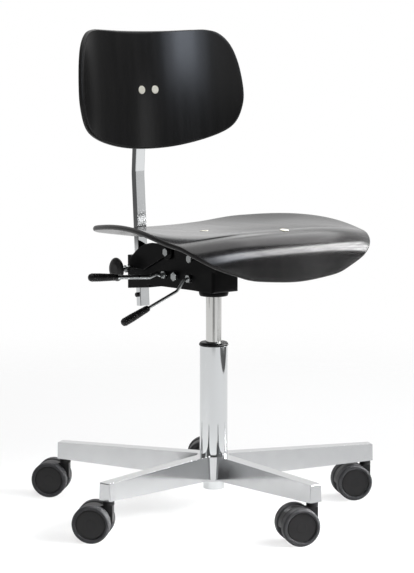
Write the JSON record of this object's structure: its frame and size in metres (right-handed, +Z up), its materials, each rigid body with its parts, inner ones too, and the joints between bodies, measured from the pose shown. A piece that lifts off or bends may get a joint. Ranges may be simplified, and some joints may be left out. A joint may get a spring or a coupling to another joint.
{
  "type": "office swivel chair",
  "caption": "Swivel office chair: black moulded plywood seat and wrapped back on a chromed bar, tilting mechanism with levers and knob, gas column, polished star base on twin-wheel castors.",
  "frame": {"origin": "on the floor under the column's axis", "axes": "+Z up along the column, -Y the way the sitter faces, -X the sitter's right with the levers"},
  "size_m": [0.6308, 0.6253, 0.8577],
  "materials": {
    "polished_aluminium": "polished",
    "column_chrome": "chromed",
    "bright_steel": "ground",
    "zinc_steel": "zinc plated",
    "black_steel": "satin black powder coat",
    "black_ply": "black stained, satin lacquer",
    "black_plastic": "moulded, fine texture",
    "grey_tread": "soft, matt",
    "rivet_aluminium": "matt"
  },
  "bodies": {
    "base": {"star_base": "polished_aluminium", "column_tube": "column_chrome", "column_collar": "black_plastic", "castor_stems": "zinc_steel"},
    "swivel": {"gas_piston_rod": "bright_steel", "thrust_bearing": "bright_steel", "retaining_clip": "zinc_steel"},
    "lift": {"gas_cylinder": "bright_steel", "housing_ring": "black_steel", "mechanism_housing": "black_steel", "tension_bolt": "zinc_steel"},
    "valve": {"gas_valve_button": "zinc_steel"},
    "seat": {"seat_shell": "black_ply", "seat_carrier": "black_steel", "seat_rivets": "rivet_aluminium", "seat_pivot_pin": "zinc_steel"},
    "back": {"back_carrier": "black_steel", "clamp_block": "black_steel", "back_pivot_pin": "zinc_steel"},
    "backrest": {"backrest_bar": "column_chrome", "bar_stop_button": "zinc_steel", "back_bracket": "black_steel", "back_shell": "black_ply", "back_rivets": "rivet_aluminium"},
    "clamp_knob": {"knob": "black_plastic", "knob_spindle": "zinc_steel"},
    "tilt_lever": {"tilt_lever_rod": "zinc_steel", "tilt_lever_grip": "black_plastic"},
    "lift_lever": {"lift_lever_rod": "zinc_steel", "lift_lever_grip": "black_plastic"},
    "castor_left_rear": {"castor_left_rear_housing": "black_plastic", "castor_left_rear_axle": "zinc_steel"},
    "castor_left_rear_wheel_a": {"castor_left_rear_rim_a": "black_plastic", "castor_left_rear_tread_a": "grey_tread"},
    "castor_left_rear_wheel_b": {"castor_left_rear_rim_b": "black_plastic", "castor_left_rear_tread_b": "grey_tread"},
    "castor_right_rear": {"castor_right_rear_housing": "black_plastic", "castor_right_rear_axle": "zinc_steel"},
    "castor_right_rear_wheel_a": {"castor_right_rear_rim_a": "black_plastic", "castor_right_rear_tread_a": "grey_tread"},
    "castor_right_rear_wheel_b": {"castor_right_rear_rim_b": "black_plastic", "castor_right_rear_tread_b": "grey_tread"},
    "castor_right": {"castor_right_housing": "black_plastic", "castor_right_axle": "zinc_steel"},
    "castor_right_wheel_a": {"castor_right_rim_a": "black_plastic", "castor_right_tread_a": "grey_tread"},
    "castor_right_wheel_b": {"castor_right_rim_b": "black_plastic", "castor_right_tread_b": "grey_tread"},
    "castor_front": {"castor_front_housing": "black_plastic", "castor_front_axle": "zinc_steel"},
    "castor_front_wheel_a": {"castor_front_rim_a": "black_plastic", "castor_front_tread_a": "grey_tread"},
    "castor_front_wheel_b": {"castor_front_rim_b": "black_plastic", "castor_front_tread_b": "grey_tread"},
    "castor_left": {"castor_left_housing": "black_plastic", "castor_left_axle": "zinc_steel"},
    "castor_left_wheel_a": {"castor_left_rim_a": "black_plastic", "castor_left_tread_a": "grey_tread"},
    "castor_left_wheel_b": {"castor_left_rim_b": "black_plastic", "castor_left_tread_b": "grey_tread"}
  },
  "joints": [
    {"name": "seat_swivel", "type": "hinge", "parent": "base", "child": "swivel", "pos_m": [0, 0, 0.2], "axis": [0, 0, 1], "continuous": true},
    {"name": "gas_lift", "type": "slide", "parent": "swivel", "child": "lift", "axis": [0, 0, 1], "range_m": [-0.078, 0.042]},
    {"name": "valve_press", "type": "slide", "parent": "lift", "child": "valve", "axis": [0, 0, -1], "range_m": [0, 0.004], "stiffness_N_per_m": 20},
    {"name": "lift_lever_turn", "type": "hinge", "parent": "lift", "child": "lift_lever", "pos_m": [0, 0.0336, 0.4155], "axis": [1, 0, 0], "range_deg": [0, 6.5], "stiffness_Nm_per_rad": 4},
    {"name": "tilt_lever_turn", "type": "hinge", "parent": "lift", "child": "tilt_lever", "pos_m": [0, 0.107, 0.4155], "axis": [1, 0, 0], "range_deg": [0, 25]},
    {"name": "seat_tilt", "type": "hinge", "parent": "lift", "child": "seat", "pos_m": [0, 0.019, 0.453], "axis": [-1, 0, 0], "range_deg": [-2, 4]},
    {"name": "back_tilt", "type": "hinge", "parent": "lift", "child": "back", "pos_m": [0, 0.0945, 0.458], "axis": [-1, 0, 0], "range_deg": [0, 14], "stiffness_Nm_per_rad": 14, "springref_deg": -25.78},
    {"name": "backrest_height", "type": "slide", "parent": "back", "child": "backrest", "axis": [0, 0.061, 0.9981], "range_m": [-0.06, 0.006]},
    {"name": "knob_turn", "type": "hinge", "parent": "back", "child": "clamp_knob", "pos_m": [-0.05, 0.21877, 0.4165], "axis": [-1, 0, 0], "range_deg": [0, 540]},
    {"name": "castor_left_rear_swivel", "type": "hinge", "parent": "base", "child": "castor_left_rear", "pos_m": [0.18502, 0.22525, 0.07], "axis": [0, 0, 1], "continuous": true},
    {"name": "castor_left_rear_wheel_a_spin", "type": "hinge", "parent": "castor_left_rear", "child": "castor_left_rear_wheel_a", "pos_m": [0.16454, 0.24126, 0.0325], "axis": [-0.6157, -0.788, 0], "continuous": true},
    {"name": "castor_left_rear_wheel_b_spin", "type": "hinge", "parent": "castor_left_rear", "child": "castor_left_rear_wheel_b", "pos_m": [0.16454, 0.24126, 0.0325], "axis": [-0.6157, -0.788, 0], "continuous": true},
    {"name": "castor_right_rear_swivel", "type": "hinge", "parent": "base", "child": "castor_right_rear", "pos_m": [-0.15705, 0.24557, 0.07], "axis": [0, 0, 1], "continuous": true},
    {"name": "castor_right_rear_wheel_a_spin", "type": "hinge", "parent": "castor_right_rear", "child": "castor_right_rear_wheel_a", "pos_m": [-0.17511, 0.26428, 0.0325], "axis": [-0.7193, -0.6947, 0], "continuous": true},
    {"name": "castor_right_rear_wheel_b_spin", "type": "hinge", "parent": "castor_right_rear", "child": "castor_right_rear_wheel_b", "pos_m": [-0.17511, 0.26428, 0.0325], "axis": [-0.7193, -0.6947, 0], "continuous": true},
    {"name": "castor_right_swivel", "type": "hinge", "parent": "base", "child": "castor_right", "pos_m": [-0.28209, -0.07348, 0.07], "axis": [0, 0, 1], "continuous": true},
    {"name": "castor_right_wheel_a_spin", "type": "hinge", "parent": "castor_right", "child": "castor_right_wheel_a", "pos_m": [-0.30015, -0.05477, 0.0325], "axis": [-0.7193, -0.6947, 0], "continuous": true},
    {"name": "castor_right_wheel_b_spin", "type": "hinge", "parent": "castor_right", "child": "castor_right_wheel_b", "pos_m": [-0.30015, -0.05477, 0.0325], "axis": [-0.7193, -0.6947, 0], "continuous": true},
    {"name": "castor_front_swivel", "type": "hinge", "parent": "base", "child": "castor_front", "pos_m": [-0.01729, -0.29099, 0.07], "axis": [0, 0, 1], "continuous": true},
    {"name": "castor_front_wheel_a_spin", "type": "hinge", "parent": "castor_front", "child": "castor_front_wheel_a", "pos_m": [-0.04117, -0.2807, 0.0325], "axis": [-0.3955, -0.9184, 0], "continuous": true},
    {"name": "castor_front_wheel_b_spin", "type": "hinge", "parent": "castor_front", "child": "castor_front_wheel_b", "pos_m": [-0.04117, -0.2807, 0.0325], "axis": [-0.3955, -0.9184, 0], "continuous": true},
    {"name": "castor_left_swivel", "type": "hinge", "parent": "base", "child": "castor_left", "pos_m": [0.2714, -0.10636, 0.07], "axis": [0, 0, 1], "continuous": true},
    {"name": "castor_left_wheel_a_spin", "type": "hinge", "parent": "castor_left", "child": "castor_left_wheel_a", "pos_m": [0.24813, -0.09476, 0.0325], "axis": [-0.4462, -0.8949, 0], "continuous": true},
    {"name": "castor_left_wheel_b_spin", "type": "hinge", "parent": "castor_left", "child": "castor_left_wheel_b", "pos_m": [0.24813, -0.09476, 0.0325], "axis": [-0.4462, -0.8949, 0], "continuous": true}
  ],
  "couplings": [
    {"joint": "valve_press", "follows": "lift_lever_turn", "m_per_rad": 0.0336}
  ]
}
